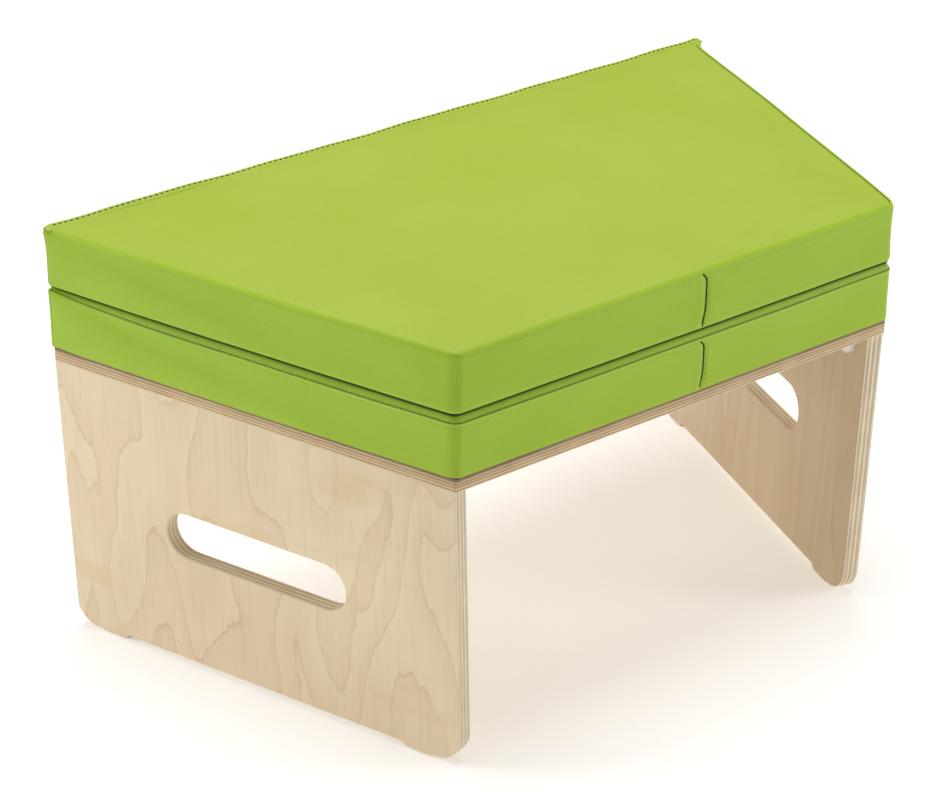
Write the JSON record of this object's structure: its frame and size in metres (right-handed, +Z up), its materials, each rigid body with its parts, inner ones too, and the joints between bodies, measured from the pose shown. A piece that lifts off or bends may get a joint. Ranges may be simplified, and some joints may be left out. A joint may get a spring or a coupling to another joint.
{
  "type": "trapezoid nursery bench",
  "caption": "Trapezoid plywood bench table on two slotted panel legs, with a folding two-panel padded mat in lime green coated fabric stacked on its laminate top.",
  "frame": {"origin": "on the floor, under the middle of the bench's bounding box", "axes": "+Z up, +Y from the short front side to the long back side, +X along the long side to the right seen from the front"},
  "size_m": [0.8508, 0.469, 0.4567],
  "materials": {
    "top_plywood": "clear matt lacquer on birch plywood, plies showing on the edges",
    "leg_plywood": "clear matt lacquer on maple-faced plywood, plies showing on the edges",
    "white_laminate": "satin white laminate with a dark brown core showing on its edge",
    "dowel_beech": "plain beech",
    "bracket_plastic": "moulded white nylon",
    "zinc_steel": "zinc plated",
    "glide_plastic": "grey moulded plastic",
    "coated_fabric": "lime green coated fabric, satin, fine grain",
    "foam": "open-cell polyurethane foam",
    "zip_tape": "woven tape with a moulded coil chain",
    "slider_metal": "plated zinc alloy"
  },
  "bodies": {
    "bench": {"table_board": "top_plywood", "top_laminate": "white_laminate", "left_leg": "leg_plywood", "right_leg": "leg_plywood", "dowels_left": "dowel_beech", "dowels_right": "dowel_beech", "bracket_left_front": "bracket_plastic", "bracket_left_rear": "bracket_plastic", "bracket_right_front": "bracket_plastic", "bracket_right_rear": "bracket_plastic", "screws_left_front": "zinc_steel", "screws_left_rear": "zinc_steel", "screws_right_front": "zinc_steel", "screws_right_rear": "zinc_steel", "glide_left_front": "glide_plastic", "glide_left_rear": "glide_plastic", "glide_right_front": "glide_plastic", "glide_right_rear": "glide_plastic"},
    "lower_mat": {"lower_foam": "foam", "lower_base_panel": "coated_fabric", "lower_top_panel": "coated_fabric", "lower_band_left": "coated_fabric", "lower_band_right": "coated_fabric", "lower_band_back": "coated_fabric", "lower_zip": "zip_tape", "lower_zip_slider": "slider_metal", "lower_hinge_strip": "coated_fabric"},
    "upper_mat": {"upper_foam": "foam", "upper_base_panel": "coated_fabric", "upper_top_panel": "coated_fabric", "upper_band_left": "coated_fabric", "upper_band_right": "coated_fabric", "upper_band_back": "coated_fabric", "upper_zip": "zip_tape", "upper_zip_slider": "slider_metal", "upper_hinge_strip": "coated_fabric", "upper_edge_lip": "coated_fabric"}
  },
  "joints": [
    {"name": "mat_lift", "type": "slide", "parent": "bench", "child": "lower_mat", "axis": [0, 0, 1], "range_m": [0, 0.2]},
    {"name": "mat_unfold", "type": "hinge", "parent": "lower_mat", "child": "upper_mat", "pos_m": [0, 0.2343, 0.38985], "axis": [-1, 0, 0], "range_deg": [0, 180]}
  ]
}
